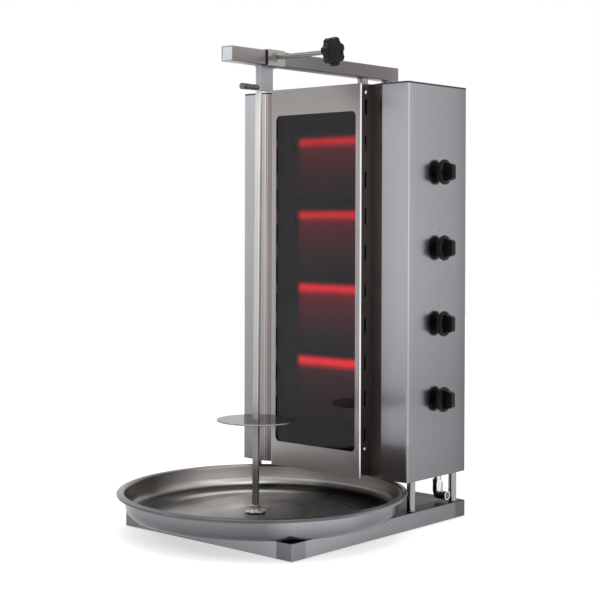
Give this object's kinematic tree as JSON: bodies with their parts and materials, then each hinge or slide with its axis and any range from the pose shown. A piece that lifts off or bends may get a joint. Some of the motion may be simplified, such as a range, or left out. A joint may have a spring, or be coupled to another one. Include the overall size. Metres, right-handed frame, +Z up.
{
  "type": "doner kebab grill",
  "caption": "Free-standing gas grill for meat on an upright spit: round drip pan on a flat base, glass-fronted burner tower with side knobs, and a top arm holding the turning spit.",
  "frame": {"origin": "on the floor, under the middle of the whole outline: half way between the front of the drip pan and the back of the rear louvres, on the line of the spit across", "axes": "+X to the side with the knobs, +Y from the drip pan to the back of the tower, +Z up"},
  "size_m": [0.64, 0.7942, 1.0726],
  "materials": {
    "brushed_steel": "brushed stainless sheet",
    "pan_steel": "spun stainless sheet",
    "plain_steel": "plain stainless sheet and bar",
    "bright_steel": "bright drawn or turned steel",
    "dark_sheet": "dark lid",
    "dark_glass": "smoked heat-proof glass",
    "gasket": "flat woven gasket",
    "glowing_ceramic": "ported tile, glowing red near its top",
    "rubber": "moulded foot",
    "aluminium": "bent pipe",
    "brass": "turned",
    "copper": "thin drawn lead",
    "chrome": "plated fitting",
    "plug_plastic": "moulded end plug",
    "black_plastic": "moulded, satin black"
  },
  "bodies": {
    "stand": {"base_tray": "brushed_steel", "base_stiffeners": "plain_steel", "rubber_feet": "rubber", "drip_pan": "pan_steel", "hub_housing": "plain_steel", "tower_posts": "plain_steel", "tower_floor": "plain_steel", "left_side_cover": "brushed_steel", "control_box_cover": "brushed_steel", "corner_infills": "brushed_steel", "roof_panels": "dark_sheet", "burner_casing": "brushed_steel", "rear_cover": "brushed_steel", "glass_frame": "brushed_steel", "glass_panel": "dark_glass", "glass_gasket": "gasket", "glass_clips": "plain_steel", "frame_screws": "bright_steel", "burner_bodies": "plain_steel", "ceramic_plaques": "glowing_ceramic", "plaque_screens": "plain_steel", "feed_pipes": "aluminium", "gas_manifold": "plain_steel", "manifold_brackets": "plain_steel", "gas_valves": "brass", "thermocouples": "copper", "inlet_nipple": "chrome", "inlet_nut": "chrome", "inlet_elbow": "chrome", "arm_posts": "plain_steel", "arm_tube": "brushed_steel", "arm_end_plugs": "plug_plastic"},
    "carriage": {"clamp_sleeve": "brushed_steel", "clamp_nut": "bright_steel", "spit_hanger": "brushed_steel", "lock_pin_body": "bright_steel"},
    "clamp_pad": {"clamp_pad": "brass"},
    "clamp_screw": {"clamp_screw": "bright_steel", "star_knob": "black_plastic"},
    "lock_pin": {"lock_pin": "bright_steel"},
    "spit_cradle": {"hub_swivel": "brass"},
    "spit": {"spit_rod": "bright_steel", "spit_hub": "bright_steel", "hub_shaft": "bright_steel", "hub_set_screw": "bright_steel", "disc_pin": "bright_steel"},
    "meat_disc": {"meat_disc": "pan_steel"},
    "knob_push_1": {"valve_push_pin_1": "bright_steel"},
    "knob_1": {"gas_knob_1": "black_plastic", "valve_spindle_1": "brass"},
    "knob_push_2": {"valve_push_pin_2": "bright_steel"},
    "knob_2": {"gas_knob_2": "black_plastic", "valve_spindle_2": "brass"},
    "knob_push_3": {"valve_push_pin_3": "bright_steel"},
    "knob_3": {"gas_knob_3": "black_plastic", "valve_spindle_3": "brass"},
    "knob_push_4": {"valve_push_pin_4": "bright_steel"},
    "knob_4": {"gas_knob_4": "black_plastic", "valve_spindle_4": "brass"}
  },
  "joints": [
    {"name": "carriage_slide", "type": "slide", "parent": "stand", "child": "carriage", "axis": [0, 1, 0], "range_m": [-0.03, 0.03]},
    {"name": "clamp_pad_travel", "type": "slide", "parent": "carriage", "child": "clamp_pad", "axis": [1, 0, 0], "range_m": [0, 0.00125]},
    {"name": "clamp_screw_turn", "type": "hinge", "parent": "clamp_pad", "child": "clamp_screw", "pos_m": [0.026, -0.0596, 1.0417], "axis": [1, 0, 0], "range_deg": [0, 360]},
    {"name": "lock_pin_pull", "type": "slide", "parent": "carriage", "child": "lock_pin", "axis": [0, -1, 0], "range_m": [0, 0.006], "stiffness_N_per_m": 1500, "springref_m": -0.004},
    {"name": "spit_lean", "type": "hinge", "parent": "stand", "child": "spit_cradle", "pos_m": [0, -0.0991, 0.024], "axis": [-1, 0, 0], "range_deg": [-1.8, 1.8]},
    {"name": "spit_turn", "type": "hinge", "parent": "spit_cradle", "child": "spit", "pos_m": [0, -0.09892, 0.045], "axis": [0, 0.0083, 1], "continuous": true},
    {"name": "disc_lift", "type": "slide", "parent": "spit", "child": "meat_disc", "axis": [0, 0.0083, 1], "range_m": [0, 0.68]},
    {"name": "knob_push_1", "type": "slide", "parent": "stand", "child": "knob_push_1", "axis": [-1, 0, 0], "range_m": [0, 0.004], "stiffness_N_per_m": 1200, "springref_m": -0.003},
    {"name": "knob_turn_1", "type": "hinge", "parent": "knob_push_1", "child": "knob_1", "pos_m": [0.262, 0.2379, 0.793], "axis": [1, 0, 0], "range_deg": [0, 180]},
    {"name": "knob_push_2", "type": "slide", "parent": "stand", "child": "knob_push_2", "axis": [-1, 0, 0], "range_m": [0, 0.004], "stiffness_N_per_m": 1200, "springref_m": -0.003},
    {"name": "knob_turn_2", "type": "hinge", "parent": "knob_push_2", "child": "knob_2", "pos_m": [0.262, 0.2379, 0.6223], "axis": [1, 0, 0], "range_deg": [0, 180]},
    {"name": "knob_push_3", "type": "slide", "parent": "stand", "child": "knob_push_3", "axis": [-1, 0, 0], "range_m": [0, 0.004], "stiffness_N_per_m": 1200, "springref_m": -0.003},
    {"name": "knob_turn_3", "type": "hinge", "parent": "knob_push_3", "child": "knob_3", "pos_m": [0.262, 0.2379, 0.4516], "axis": [1, 0, 0], "range_deg": [0, 180]},
    {"name": "knob_push_4", "type": "slide", "parent": "stand", "child": "knob_push_4", "axis": [-1, 0, 0], "range_m": [0, 0.004], "stiffness_N_per_m": 1200, "springref_m": -0.003},
    {"name": "knob_turn_4", "type": "hinge", "parent": "knob_push_4", "child": "knob_4", "pos_m": [0.262, 0.2379, 0.2809], "axis": [1, 0, 0], "range_deg": [0, 180]}
  ],
  "couplings": [
    {"joint": "clamp_screw_turn", "follows": "clamp_pad_travel", "rad_per_m": 5026.5},
    {"joint": "spit_lean", "follows": "carriage_slide", "rad_per_m": 1.0417}
  ]
}
